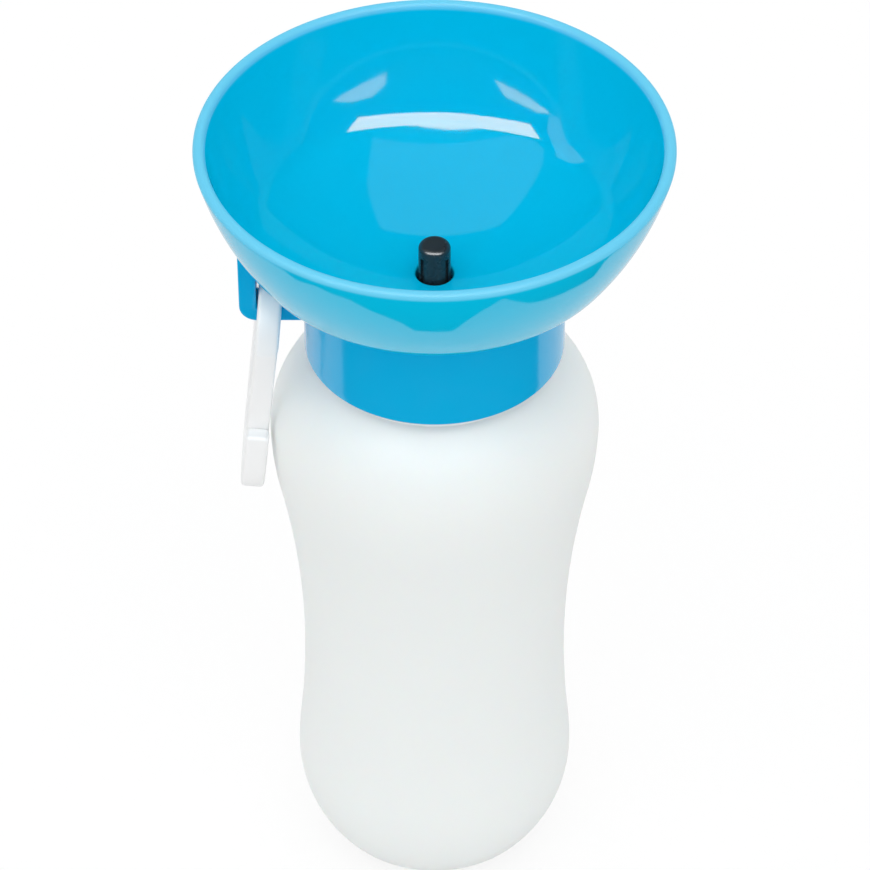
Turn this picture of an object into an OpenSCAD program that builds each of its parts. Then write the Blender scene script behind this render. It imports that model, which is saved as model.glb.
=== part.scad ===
// Dog travel water bottle: a squeeze bottle with a drinking bowl screwed on its neck.
// Millimetres. The bottle stands on z = 0 and its axis is the Z axis. The front is -Y,
// and the hanger bracket with its snap hook is on the -X side.
// Squeezing the bottle lifts water up the rise tube and past the push-pull valve into the bowl.

/* [Bowl] */
// Outer diameter over the rim
bowl_d = 108; // [100:1:116]
// Wall, with a full-round rim
bowl_wall = 2.7; // [1.8:0.1:3.2]
// Lean of the side wall at the rim, from vertical
bowl_rim_angle = 13.5; // [8:0.5:18]
// Lean of the side wall where the lower curve starts
bowl_side_angle = 33; // [30:0.5:38]
// Lean where the lower curve runs into the dished floor
bowl_floor_angle = 54; // [50:0.5:58]
// Radius of the side wall's outer curve
bowl_side_r = 73; // [66:1:80]
// Radius of the lower outer curve
bowl_knuckle_r = 14; // [10:0.5:18]
// Lowest point of the bowl's underside
bowl_z = 175.6; // [175:0.1:178]

/* [Screw collar] */
// Wall of the skirt
collar_wall = 2.0; // [1.6:0.1:2.2]
// Lower edge of the skirt
collar_z = 158.5; // [157.5:0.1:159.5]
// Underside of the inner plate that closes on the gasket
plate_z = 172.4; // [171.9:0.1:172.6]
// Thickness of the inner plate
plate_t = 2.2; // [1.6:0.1:2.4]
// Small bevel on the skirt's edge
collar_bevel = 0.4; // [0.2:0.1:0.7]

/* [Hanger bracket] */
// Width of the strip along Y
bracket_w = 8; // [6:0.5:10]
// Outer face of the hanging leg, from the axis
bracket_reach = 45; // [44.8:0.1:46.5]
// Thickness of the leg
bracket_leg_t = 4.0; // [3:0.1:4.1]
// Thickness of the cross bar
bracket_bar_t = 3.5; // [2.5:0.1:4]
// Underside of the cross bar
bracket_z = 167.3; // [166.5:0.1:168]
// Outer corner radius
bracket_r = 4; // [2:0.5:4]
// Inner corner radius
bracket_fillet = 0.5; // [0.3:0.1:0.6]

/* [Bottle] */
// Shoulder diameter, the widest ring
shoulder_d = 77.8; // [74:0.1:79]
// Height of the widest ring
shoulder_z = 133.4; // [131:0.1:135]
// Radius that rounds the shoulder in to the neck
shoulder_r = 24.6; // [23:0.1:26]
// Diameter at the hand grip
waist_d = 64.4; // [60:0.1:68]
// Height of the hand grip
waist_z = 64.6; // [60:0.1:70]
// Diameter of the lower body
lobe_d = 68.7; // [66:0.1:72]
// Height of the lower body's widest ring
lobe_z = 25; // [23:0.5:29]
// Share of the height below the grip that bulges outwards
lobe_share = 0.2; // [0.15:0.01:0.4]
// Share of the height above the grip that curves inwards
grip_share = 0.78; // [0.6:0.01:0.85]
// Large radius of the base curve
base_side_r = 35.7; // [31:0.1:45]
// Small radius of the base curve
base_corner_r = 11.8; // [9:0.1:14]
// Wall of the body
bottle_wall = 1.2; // [0.8:0.1:1.6]
// Rise of the dished base
base_push = 1.6; // [1:0.1:3]
// Width of the ring that the bottle stands on
foot_w = 3.2; // [2:0.1:5]

/* [Neck and thread] */
// Outside diameter of the neck under its thread; the collar follows it
neck_d = 53; // [51:0.1:54]
// Wall of the neck
neck_wall = 2.0; // [1.6:0.1:2.4]
// Thread pitch
pitch = 4.2; // [4:0.1:4.6]
// Height of the thread ridges
thread_h = 1.2; // [0.9:0.1:1.3]
// Width of a ridge at its root
thread_root_w = 2.2; // [1.8:0.1:2.3]
// Width of a ridge at its crest
thread_crest_w = 1.0; // [0.8:0.1:1.2]
// Turns of thread on the neck
neck_turns = 1.5; // [1:0.25:1.5]
// Turns of thread in the collar
collar_turns = 1.25; // [0.75:0.25:1.5]
// Gasket thickness
gasket_t = 1.8; // [1.2:0.1:2.4]

/* [Valve] */
// Diameter of the knob that shows in the bowl
knob_d = 7.4; // [6.6:0.1:7.8]
// Top of the knob, pushed down
knob_z = 187; // [186:0.5:190]
// Rounding of the knob's top edge
knob_round = 1.3; // [0.5:0.1:1.6]
// Top of the water flutes
flute_z = 184.2; // [182:0.1:185]
// Width of a flute
flute_w = 1.3; // [0.8:0.1:1.6]
// Depth of a flute
flute_depth = 0.9; // [0.5:0.1:1.1]
// Azimuth of the flutes on either side of front and back
flute_angle = 50; // [40:1:60]
// Hole in the bowl floor
floor_hole_d = 8.7; // [8.2:0.1:9.4]
// Pull from closed to open
valve_travel = 4; // [3:0.1:4.4]
// Bore of the chamber under the floor
chamber_d = 13.2; // [12.6:0.1:14]
// Wall of the spigot around the chamber
spigot_wall = 2.4; // [1.8:0.1:2.6]
// Length of the spigot below the plate
spigot_len = 5.4; // [4.6:0.1:5.8]
// Height of the snap bead on the spigot, above its lower end
bead_h = 1.6; // [1.4:0.1:2]
// Diameter of the boss that sits on the plate
boss_d = 26; // [24:0.5:30]
// Height of the guide fins' top face when closed
fin_top_z = 171.3; // [171.1:0.1:171.4]
// Thickness of the guide fins
fin_t = 1.6; // [1.2:0.1:1.8]
// Width of a guide fin
fin_w = 2; // [1.4:0.1:2.6]
// Bore of the valve seat
seat_d = 6.2; // [5.8:0.1:6.4]
// Cross-section of the seal ring
seal_t = 0.9; // [0.8:0.05:1.0]
// Wall of the clamp cup
cup_wall = 2.5; // [2:0.1:3]
// Thickness of the clamp cup's floor
cup_floor = 1.6; // [1.2:0.1:2]
// Thickness of the washer under the plate
washer_t = 1; // [0.6:0.1:1.4]
// Outside diameter of the rise tube
tube_d = 8; // [7.6:0.1:9]
// Wall of the rise tube
tube_wall = 1; // [0.8:0.1:1.1]
// Length of the stub that the tube is pushed on
stub_len = 10; // [6:0.5:14]
// Gap between the tube's end and the bottle's floor
tube_foot_gap = 4; // [3:0.5:8]

/* [Snap hook] */
// Width of the hook across its strips, inside
hook_gap = 17; // [16.4:0.1:19]
// Thickness of a strip in the hook's plane
hook_t = 4; // [3.4:0.1:4.4]
// Width of a strip across the hook's plane
hook_w = 5.5; // [5:0.1:5.7]
// Distance between the centres of the two end bends
hook_len = 35.2; // [32:0.1:40]
// Rounding of the strips' edges
hook_edge = 1; // [0.4:0.1:1.2]
// Length of the fixed nose above the lower bend
nose_len = 9.8; // [8:0.1:12]
// Width of the gate, a little less than the strip
gate_w = 5.2; // [4.4:0.1:5.2]
// Thickness of the gate's tongue
gate_t = 2.6; // [2.2:0.1:2.8]
// Overlap of the gate's tip behind the nose
gate_tuck = 4; // [3:0.1:5]

/* [Hidden] */

$fn = 120;
profile_fn = 240;       // facets on the section's long arcs
seat_gap = 0.1;         // between pieces fixed to each other
skirt_gap = 0.55;       // radial, from the neck's thread to the skirt
run_gap = 0.08;         // radial, between pieces that slide or turn
thread_gap = 0.35;      // radial, from a thread's crest to the other piece
stop_gap = 0.3;         // between a moving piece and its stop
bar_gap = 0.3;          // between the hook's bend and the bar it hangs on
leg_gap = 0.23;         // between the hook's bend and the bracket's leg
shoulder_gap = 0.13;    // between the hook and the widest ring as the hook swings past it
knuckle_gap = 0.1;      // between the gate's knuckle and the frame's end
nose_gap = 0.2;         // between the gate's tip and the nose
bury = 0.4;             // how far a ridge's root is sunk into its wall
over = 1;               // by which a cut or a blank passes what bounds it
tiny = 0.01;
lap = 0.04;             // by which the arcs of a section run into one another
thread_steps = 30;      // facets of thread a turn
fade = 30;              // degrees over which a thread's ends run out

// Bowl section: three outer arcs that run into one another, from the rim to the axis.
bowl_top_c = [bowl_d / 2 - bowl_side_r * cos(bowl_rim_angle), bowl_side_r * sin(bowl_rim_angle)];
side_end = bowl_top_c + bowl_side_r * [cos(bowl_side_angle), -sin(bowl_side_angle)];
knuckle_top_c = side_end - bowl_knuckle_r * [cos(bowl_side_angle), -sin(bowl_side_angle)];
knuckle_end = knuckle_top_c + bowl_knuckle_r * [cos(bowl_floor_angle), -sin(bowl_floor_angle)];
floor_r = knuckle_end[0] / cos(bowl_floor_angle);
floor_top_c = [0, knuckle_end[1] + floor_r * sin(bowl_floor_angle)];
rim_z = bowl_z + floor_r - floor_top_c[1];
side_c = bowl_top_c + [0, rim_z];
knuckle_c = knuckle_top_c + [0, rim_z];
floor_c = floor_top_c + [0, rim_z];

// Collar and neck.
neck_r = neck_d / 2;
bore_r = neck_r - neck_wall;
skirt_r = neck_r + thread_h + skirt_gap;
collar_r = skirt_r + collar_wall;
plate_top = plate_z + plate_t;
neck_top = plate_z - gasket_t;
collar_crest_r = neck_r + thread_gap;
lead_in = 2;
thread_z = collar_z + thread_root_w / 2 + lead_in;
skirt_top = floor_c[1] - sqrt(pow(floor_r, 2) - pow(collar_r, 2)) + over;
bracket_top = side_c[1] - sqrt(pow(bowl_side_r, 2) - pow(bracket_reach - side_c[0], 2)) + over;

// Valve stack, closed.
spigot_r = chamber_d / 2 + spigot_wall;
spigot_z = plate_z - spigot_len;
cup_z = spigot_z - stop_gap - cup_floor;
cup_r = spigot_r + seat_gap + cup_wall;
fin_z = fin_top_z - fin_t;
seat_top = fin_z - stop_gap;
seat_r = seat_d / 2;
seat_wall = 1.5;
tip_play = 0.5;
tip_r = seat_r - tip_play;
groove_r = seat_r - run_gap - seal_t;
groove_play = 0.05;
seal_z = seat_top - valve_travel + seal_t / 2 + stop_gap + tiny;
tip_len = 1.2;
tip_z = seal_z - seal_t / 2 - tip_len;
seat_z = tip_z - 2 * stop_gap;
hub_t = 1.2;
hub_lip = 1;
hub_z = seat_z - hub_t;
hub_r = tube_d / 2 + hub_lip;
stub_r = tube_d / 2 - tube_wall - seat_gap / 2;
stub_wall = 0.95;
stub_bore = stub_r - stub_wall;
stub_z = hub_z - stub_len;
bead_r = 0.5;
bead_z = spigot_z + bead_h;
boss_bury = 0.3;

// Bottle section: arcs that meet at common tangents.
lobe_r = lobe_d / 2;
waist_r = waist_d / 2;
top_r = shoulder_d / 2;
base_turn = asin((lobe_z - base_corner_r) / (base_side_r - base_corner_r));
base_side_c = [lobe_r - base_side_r, lobe_z];
corner_c = base_side_c + (base_side_r - base_corner_r) * [cos(base_turn), -sin(base_turn)];
low_h = waist_z - lobe_z;
low_turn = 2 * atan((lobe_r - waist_r) / low_h);
lobe_arc = lobe_share * low_h / sin(low_turn);
grip_low_arc = (1 - lobe_share) * low_h / sin(low_turn);
high_h = shoulder_z - waist_z;
high_turn = 2 * atan((top_r - waist_r) / high_h);
grip_high_arc = grip_share * high_h / sin(high_turn);
chest_arc = (1 - grip_share) * high_h / sin(high_turn);
shoulder_c = [top_r - shoulder_r, shoulder_z];
shoulder_end = acos((bore_r + 0.2 - shoulder_c[0]) / (shoulder_r - bottle_wall));
tube_z = base_push + bottle_wall + tube_foot_gap;

// Snap hook, in its own plane: the upper bend's centre is the origin.
bend_in = hook_gap / 2;
bend_out = bend_in + hook_t;
bar_top = bracket_z + bracket_bar_t;
hook_z = bar_top - sqrt(pow(bend_in - bar_gap, 2) - pow(bracket_w / 2, 2));
nose_z = nose_len - hook_len;

// The hanging hook leans so far that its swing clears the shoulder, and its bend passes the leg.
pass_h = sqrt(pow(bend_in, 2) - pow(bracket_w / 2, 2));
leg_x = bracket_reach - bracket_leg_t - leg_gap;
lean_room = [leg_x - shoulder_c[0], hook_z + pass_h - shoulder_z];
hook_lean = max(0, asin((shoulder_r + shoulder_gap + hook_w) / norm(lean_room)) - atan2(lean_room[0], lean_room[1]));
hook_x = leg_x - hook_w / 2 / cos(hook_lean) + pass_h * tan(hook_lean);

// Gate: its tongue starts flush with the frame's face and slants in behind the nose.
knuckle_r = hook_t / 2;
gate_y = -(bend_in + knuckle_r);
tip_y = -bend_in + nose_gap;
gate_slant = atan((tip_y + bend_out) / -nose_z);
gate_edge = hook_edge * gate_t / hook_t;
kink = 0.4;             // by which the tongue and its tip run into one another

// Part of a flat ring between two angles, for sections that are revolved.
module band(c, outer, inner, from, to) {
  reach = 1.3 * outer;
  a = from - lap / outer * 180 / PI;
  b = to + lap / outer * 180 / PI;
  translate(c)
    intersection() {
      difference() {
        circle(r = outer, $fn = profile_fn);
        circle(r = inner, $fn = profile_fn);
      }
      polygon([[0, 0], reach * [cos(a), sin(a)], reach * [cos(b), sin(b)]]);
    }
}

module slab(r0, r1, z0, z1) {
  translate([r0, z0])
    square([r1 - r0, z1 - z0]);
}

// Points of one cross-section of a thread ridge, t degrees along it.
function ridge(root, crest, z, t, total) =
  let (
    run = min(1, t / fade, (total - t) / fade),
    tip = root + (crest - root) * max(run, 0.12),
    half_tip = thread_crest_w / 2 + (thread_root_w - thread_crest_w) / 2 * (1 - max(run, 0.12)),
    half_root = thread_root_w / 2 + bury / 2,
    h = z + pitch * t / 360
  )
  [
    [root * cos(t), root * sin(t), h - half_root],
    [tip * cos(t), tip * sin(t), h - half_tip],
    [tip * cos(t), tip * sin(t), h + half_tip],
    [root * cos(t), root * sin(t), h + half_root]
  ];

// A right-hand ridge. The crest lies inside or outside the root.
module thread(root, crest, z, turns) {
  n = round(thread_steps * turns);
  total = 360 * turns;
  points = [for (i = [0 : n]) each ridge(root, crest, z, total * i / n, total)];
  side = [
    for (i = [0 : n - 1])
      for (j = [0 : 3])
        let (k = (j + 1) % 4)
        each [[4 * i + j, 4 * i + k, 4 * i + 4 + k], [4 * i + j, 4 * i + 4 + k, 4 * i + 4 + j]]
  ];
  ends = [[0, 3, 2, 1], [4 * n, 4 * n + 1, 4 * n + 2, 4 * n + 3]];
  outward = crest > root;
  faces = outward ? concat(side, ends) : [for (f = concat(side, ends)) [for (i = [len(f) - 1 : -1 : 0]) f[i]]];
  polyhedron(points, faces, convexity = 6);
}

// Blow-moulded bottle: dished base, lower body, hand grip, shoulder and threaded neck.
module squeeze_bottle() {
  w = bottle_wall;
  color([0.93, 0.95, 0.95, 0.8])
    union() {
      rotate_extrude()
        union() {
          polygon([
            [0, base_push],
            [corner_c[0] - foot_w - base_push, base_push],
            [corner_c[0] - foot_w, 0],
            [corner_c[0], 0],
            [corner_c[0], w],
            [corner_c[0] - foot_w + w / 2, w],
            [corner_c[0] - foot_w - base_push + w / 2, base_push + w],
            [0, base_push + w]
          ]);
          band(corner_c, base_corner_r, base_corner_r - w, -90, -base_turn);
          band(base_side_c, base_side_r, base_side_r - w, -base_turn, 0);
          band([lobe_r - lobe_arc, lobe_z], lobe_arc, lobe_arc - w, 0, low_turn);
          band([waist_r + grip_low_arc, waist_z], grip_low_arc + w, grip_low_arc, 180, 180 + low_turn);
          band([waist_r + grip_high_arc, waist_z], grip_high_arc + w, grip_high_arc, 180 - high_turn, 180);
          band([top_r - chest_arc, shoulder_z], chest_arc, chest_arc - w, -high_turn, 0);
          band(shoulder_c, shoulder_r, shoulder_r - w, 0, shoulder_end);
          difference() {
            slab(bore_r, neck_r, shoulder_z, neck_top);
            translate(shoulder_c)
              circle(r = shoulder_r - w, $fn = profile_fn);
          }
        }
      thread(neck_r - bury, neck_r + thread_h, thread_z, neck_turns);
    }
}

// Flat rubber ring between the neck's rim and the collar's plate.
module neck_gasket() {
  color([0.85, 0.86, 0.86])
    rotate_extrude()
      slab(bore_r, skirt_r - seat_gap, neck_top, plate_z);
}

// Section of the bowl's underside with a seat's gap, cut from the pieces that close on it.
module bowl_seat() {
  depth = 9;
  g = seat_gap;
  union() {
    band(side_c, bowl_side_r + g, bowl_side_r - depth, -bowl_side_angle, -bowl_rim_angle);
    band(knuckle_c, bowl_knuckle_r + g, bowl_knuckle_r - depth, -bowl_floor_angle, -bowl_side_angle);
    band(floor_c, floor_r + g, floor_r - depth, -90, -bowl_floor_angle);
  }
}

// Skirt with its thread, and the plate that clamps the gasket.
module screw_collar() {
  color([0.0, 0.62, 0.85])
    union() {
      rotate_extrude()
        difference() {
          union() {
            polygon([
              [skirt_r, collar_z],
              [collar_r - collar_bevel, collar_z],
              [collar_r, collar_z + collar_bevel],
              [collar_r, skirt_top],
              [skirt_r, skirt_top]
            ]);
            slab(spigot_r + seat_gap, skirt_r + tiny, plate_z, plate_top);
          }
          bowl_seat();
        }
      thread(skirt_r + bury, collar_crest_r, thread_z + pitch / 2, collar_turns);
    }
}

// Bar out from the skirt, which it is moulded on, and leg up to the bowl: the snap hook hangs in this loop.
module hanger_bracket() {
  inner_x = bracket_reach - bracket_leg_t;
  color([0.0, 0.62, 0.85])
    difference() {
      translate([0, bracket_w / 2, 0])
        rotate([90, 0, 0])
          linear_extrude(bracket_w)
            mirror([1, 0, 0])
              difference() {
                union() {
                  slab(collar_r - collar_wall, bracket_reach - bracket_r, bracket_z, bar_top);
                  slab(inner_x, bracket_reach, bracket_z + bracket_r, bracket_top);
                  slab(inner_x - bracket_fillet, bracket_reach, bracket_z, bar_top + bracket_fillet);
                }
                translate([inner_x - bracket_fillet, bar_top + bracket_fillet])
                  circle(r = bracket_fillet);
                difference() {
                  slab(bracket_reach - bracket_r, bracket_reach + over, bracket_z - over, bracket_z + bracket_r);
                  translate([bracket_reach - bracket_r, bracket_z + bracket_r])
                    circle(r = bracket_r);
                }
                bowl_seat();
              }
      translate([0, 0, bracket_z - over])
        cylinder(r = collar_r + tiny, h = bracket_bar_t + 2 * over);
    }
}

// Drinking bowl, with the boss that sits on the collar's plate and the valve chamber's spigot.
module bowl() {
  w = bowl_wall;
  mid = side_c + (bowl_side_r - w / 2) * [cos(bowl_rim_angle), -sin(bowl_rim_angle)];
  color([0.0, 0.68, 0.9])
    rotate_extrude()
      difference() {
        union() {
          translate(mid)
            circle(r = w / 2);
          band(side_c, bowl_side_r, bowl_side_r - w, -bowl_side_angle, -bowl_rim_angle);
          band(knuckle_c, bowl_knuckle_r, bowl_knuckle_r - w, -bowl_floor_angle, -bowl_side_angle);
          band(floor_c, floor_r, floor_r - w, -90, -bowl_floor_angle);
          slab(chamber_d / 2, boss_d / 2, plate_top, bowl_z + w / 2 + boss_bury);
          slab(chamber_d / 2, spigot_r, spigot_z, plate_top + tiny);
          translate([spigot_r, bead_z])
            circle(r = bead_r);
        }
        slab(-over, floor_hole_d / 2, bowl_z - over, bowl_z + w + over);
      }
}

// Cup that snaps on the spigot from below: it clamps bowl and collar, and holds the seat and tube.
module valve_body() {
  color([0.9, 0.91, 0.91])
    rotate_extrude()
      difference() {
        union() {
          slab(spigot_r + seat_gap, cup_r, cup_z, plate_z - washer_t);
          slab(seat_r, cup_r, cup_z, cup_z + cup_floor);
          slab(seat_r, seat_r + seat_wall, seat_z, seat_top);
          slab(stub_bore, hub_r, hub_z, seat_z);
          slab(seat_r, hub_r, seat_z - tiny, cup_z + tiny);
          slab(stub_bore, stub_r, stub_z, hub_z + tiny);
        }
        translate([spigot_r, bead_z])
          circle(r = bead_r + seat_gap);
      }
}

module valve_washer() {
  color([0.2, 0.2, 0.2])
    rotate_extrude()
      slab(spigot_r + seat_gap, cup_r, plate_z - washer_t, plate_z);
}

// Push-pull knob: fluted stem, three guide fins that stop under the floor, and the seal's groove.
module valve_plunger() {
  knob_r = knob_d / 2;
  color([0.08, 0.08, 0.09])
    difference() {
      union() {
        rotate_extrude()
          difference() {
            union() {
              slab(0, knob_r, fin_z, knob_z - knob_round);
              slab(0, knob_r - knob_round, knob_z - knob_round - tiny, knob_z);
              translate([knob_r - knob_round, knob_z - knob_round])
                circle(r = knob_round);
              slab(0, tip_r, tip_z, fin_z + tiny);
            }
            slab(groove_r, tip_r + over, seal_z - seal_t / 2 - groove_play, seal_z + seal_t / 2 + groove_play);
            slab(-2 * knob_r, 0, tip_z - over, knob_z + over);
          }
        for (i = [0 : 2])
          rotate([0, 0, 90 + 120 * i])
            intersection() {
              translate([0, -fin_w / 2, fin_z])
                cube([chamber_d, fin_w, fin_t]);
              translate([0, 0, fin_z])
                cylinder(r = chamber_d / 2 - seat_gap, h = fin_t);
            }
      }
      for (a = [flute_angle, 180 - flute_angle, 180 + flute_angle, -flute_angle])
        rotate([0, 0, a - 90])
          translate([knob_r - flute_depth, -flute_w / 2, fin_top_z])
            cube([knob_r, flute_w, flute_z - fin_top_z]);
    }
}

module plunger_seal() {
  color([0.15, 0.15, 0.15])
    translate([0, 0, seal_z])
      rotate_extrude()
        translate([groove_r + seal_t / 2, 0])
          circle(d = seal_t, $fn = 48);
}

// Tube from the valve down to the bottle's floor, cut at a slant so that it can't seal itself.
module rise_tube() {
  cut = tube_d;
  slant = 30;
  color([0.9, 0.93, 0.95, 0.6])
    difference() {
      translate([0, 0, tube_z])
        cylinder(d = tube_d, h = hub_z - seat_gap - tube_z);
      translate([0, 0, tube_z - over])
        cylinder(d = tube_d - 2 * tube_wall, h = hub_z - tube_z + 2 * over);
      translate([0, 0, tube_z])
        rotate([0, slant, 0])
          translate([-2 * cut, -cut, -2 * cut])
            cube([4 * cut, 2 * cut, 2 * cut]);
    }
}

// Places what is drawn in the hook's own plane: it hangs on the bar and leans on the shoulder.
module hang() {
  translate([-hook_x, 0, hook_z])
    rotate([0, hook_lean, 0])
      children();
}

// Rectangle with rounded corners, centred.
module soft_rect(w, h, r) {
  a = w / 2 - r;
  b = h / 2 - r;
  union() {
    square([2 * a, h], center = true);
    square([w, 2 * b], center = true);
    for (x = [-a, a])
      for (y = [-b, b])
        translate([x, y])
          circle(r = r, $fn = 32);
  }
}

// Half bend of the strip in the hook's plane, angles from +Y towards +Z.
module bend(z, from) {
  translate([0, 0, z])
    rotate([0, 0, 90])
      rotate([90, 0, 0])
        rotate([0, 0, from])
          rotate_extrude(angle = 180)
            translate([bend_in + hook_t / 2, 0])
              soft_rect(hook_t, hook_w, hook_edge);
}

// Straight strip across the hook's plane: w wide, t thick and centred on y.
module run(y, z0, z1, w, t, edge) {
  translate([0, y, z0])
    linear_extrude(z1 - z0)
      soft_rect(w, t, edge);
}

// Fixed nose above the lower bend, with its end rounded both ways.
module nose() {
  h = nose_len + hook_t;
  intersection() {
    run(gate_y, -hook_len, nose_z, hook_w, hook_t, hook_edge);
    translate([-hook_w, gate_y, nose_z - h / 2])
      rotate([90, 0, 90])
        linear_extrude(2 * hook_w)
          soft_rect(hook_t, h, hook_edge);
    translate([0, gate_y + hook_t, nose_z - h / 2])
      rotate([90, 0, 0])
        linear_extrude(2 * hook_t)
          soft_rect(hook_w, h, hook_edge);
  }
}

// Open ring of the snap hook: top bend, back, bottom bend and nose.
module hook_frame() {
  color([0.95, 0.95, 0.95])
    hang()
      difference() {
        union() {
          bend(0, 0);
          run(bend_in + hook_t / 2, -hook_len, 0, hook_w, hook_t, hook_edge);
          bend(-hook_len, 180);
          nose();
        }
        translate([-hook_w, gate_y, 0])
          rotate([0, 90, 0])
            cylinder(r = knuckle_r + knuckle_gap, h = 2 * hook_w);
      }
}

// Gate: a knuckle in the frame's end, a tongue, and a tip that closes behind the nose.
module hook_gate() {
  tip_mid = tip_y + gate_t / 2;
  color([0.95, 0.95, 0.95])
    hang()
      union() {
        translate([0, gate_y, 0])
          rotate([0, 90, 0])
            rotate_extrude()
              intersection() {
                soft_rect(2 * knuckle_r, gate_w, gate_edge);
                slab(0, knuckle_r, -gate_w, gate_w);
              }
        translate([0, gate_y, 0])
          rotate([gate_slant, 0, 0])
            run(gate_t / 2 - knuckle_r, (nose_z - kink) / cos(gate_slant), 0, gate_w, gate_t, gate_edge);
        run(tip_mid, nose_z - gate_tuck, nose_z + kink, gate_w, gate_t, gate_edge);
      }
}

squeeze_bottle();
neck_gasket();
screw_collar();
hanger_bracket();
bowl();
valve_body();
valve_washer();
valve_plunger();
plunger_seal();
rise_tube();
hook_frame();
hook_gate();
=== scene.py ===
import math
import bpy
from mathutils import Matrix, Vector


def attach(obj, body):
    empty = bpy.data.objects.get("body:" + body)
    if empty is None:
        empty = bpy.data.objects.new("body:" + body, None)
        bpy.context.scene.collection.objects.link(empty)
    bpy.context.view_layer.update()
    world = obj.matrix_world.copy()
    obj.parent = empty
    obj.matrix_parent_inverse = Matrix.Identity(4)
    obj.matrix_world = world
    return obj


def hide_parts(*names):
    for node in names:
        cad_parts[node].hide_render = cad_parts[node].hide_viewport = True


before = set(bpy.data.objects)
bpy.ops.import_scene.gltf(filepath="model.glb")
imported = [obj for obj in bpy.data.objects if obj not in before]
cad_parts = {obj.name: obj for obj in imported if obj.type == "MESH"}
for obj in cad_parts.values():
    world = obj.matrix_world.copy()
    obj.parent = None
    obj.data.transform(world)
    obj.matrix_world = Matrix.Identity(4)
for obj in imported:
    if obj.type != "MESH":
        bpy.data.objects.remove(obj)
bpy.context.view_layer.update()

# Dog travel water bottle: the shape and look of every piece, and the studio around it.
# Shapes are in millimetres and degrees, with the CAD's sizes. A mesh becomes metres when it is made.
MM = 0.001


def cosd(a):
    return math.cos(math.radians(a))


def sind(a):
    return math.sin(math.radians(a))


def polar(centre, r, a):
    """Point at a distance and an angle from a centre, in a section or in a plane."""
    return (centre[0] + r * cosd(a), centre[1] + r * sind(a))


# ---------------------------------------------------------------- sizes, as in the CAD
SEAT_GAP = 0.1          # between pieces fixed to each other
STOP_GAP = 0.3          # between a moving piece and its stop
RUN_GAP = 0.08          # between pieces that slide or turn

# Bowl: three outer arcs run into one another from the rim to the axis.
BOWL_R, BOWL_WALL, BOWL_Z = 54.0, 2.7, 175.6
RIM_A, SIDE_A, FLOOR_A = 13.5, 33.0, 54.0
SIDE_R, KNUCKLE_R = 73.0, 14.0
HOLE_R, CHAMBER_R, BOSS_R = 4.35, 6.6, 13.0
side_top = (BOWL_R - SIDE_R * cosd(RIM_A), SIDE_R * sind(RIM_A))
knuckle_top = polar(polar(side_top, SIDE_R, -SIDE_A), -KNUCKLE_R, -SIDE_A)
knuckle_end = polar(knuckle_top, KNUCKLE_R, -FLOOR_A)
FLOOR_R = knuckle_end[0] / cosd(FLOOR_A)
RIM_Z = BOWL_Z + FLOOR_R - (knuckle_end[1] + FLOOR_R * sind(FLOOR_A))
SIDE_C = (side_top[0], side_top[1] + RIM_Z)
KNUCKLE_C = (knuckle_top[0], knuckle_top[1] + RIM_Z)
FLOOR_C = (0.0, BOWL_Z + FLOOR_R)

# Neck, thread and collar.
NECK_R, NECK_WALL = 26.5, 2.0
BORE_R = NECK_R - NECK_WALL
PITCH, THREAD_H, THREAD_GAP, THREAD_LEAD = 4.2, 1.2, 0.35, 2.0
ROOT_W, CREST_W, BURY = 2.2, 1.0, 0.4
NECK_TURNS, COLLAR_TURNS = 1.5, 1.25
SKIRT_GAP, COLLAR_WALL, COLLAR_Z = 0.55, 2.0, 158.5
SKIRT_R = NECK_R + THREAD_H + SKIRT_GAP
COLLAR_R = SKIRT_R + COLLAR_WALL
THREAD_Z = COLLAR_Z + ROOT_W / 2 + THREAD_LEAD
PLATE_Z, PLATE_T, GASKET_T = 172.4, 2.2, 1.8
PLATE_TOP = PLATE_Z + PLATE_T
NECK_TOP = PLATE_Z - GASKET_T

# Hanger bracket.
REACH, LEG_T, BAR_Z, BAR_T = 45.0, 4.0, 167.3, 3.5
BRACKET_W, BRACKET_R, BRACKET_FILLET = 8.0, 4.0, 0.5
LEG_X = REACH - LEG_T
BAR_TOP = BAR_Z + BAR_T

# Bottle.
WALL = 1.2
SHOULDER_R, SHOULDER_Z, SHOULDER_ARC = 38.9, 133.4, 24.6
WAIST_R, WAIST_Z = 32.2, 64.6
LOBE_R, LOBE_Z, LOBE_SHARE, GRIP_SHARE = 34.35, 25.0, 0.2, 0.78
BASE_R, CORNER_R, PUSH, FOOT = 35.7, 11.8, 1.6, 3.2
SHOULDER_C = (SHOULDER_R - SHOULDER_ARC, SHOULDER_Z)

# Valve stack, closed.
SPIGOT_WALL, SPIGOT_LEN, BEAD_R, BEAD_H = 2.4, 5.4, 0.5, 1.6
SPIGOT_R = CHAMBER_R + SPIGOT_WALL
SPIGOT_Z = PLATE_Z - SPIGOT_LEN
BEAD_Z = SPIGOT_Z + BEAD_H
WASHER_T, CUP_WALL, CUP_FLOOR = 1.0, 2.5, 1.6
CUP_R = SPIGOT_R + SEAT_GAP + CUP_WALL
CUP_Z = SPIGOT_Z - STOP_GAP - CUP_FLOOR
FIN_W, FIN_T, FIN_TOP = 2.0, 1.6, 171.3
FIN_Z = FIN_TOP - FIN_T
SEAT_R, SEAT_WALL, TRAVEL, SEAL_T, TINY = 3.1, 1.5, 4.0, 0.9, 0.01
SEAT_TOP = FIN_Z - STOP_GAP
SEAL_Z = SEAT_TOP - TRAVEL + SEAL_T / 2 + STOP_GAP + TINY
TIP_PLAY, TIP_LEN, GROOVE_PLAY = 0.5, 1.2, 0.05
TIP_R = SEAT_R - TIP_PLAY
TIP_Z = SEAL_Z - SEAL_T / 2 - TIP_LEN
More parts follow.
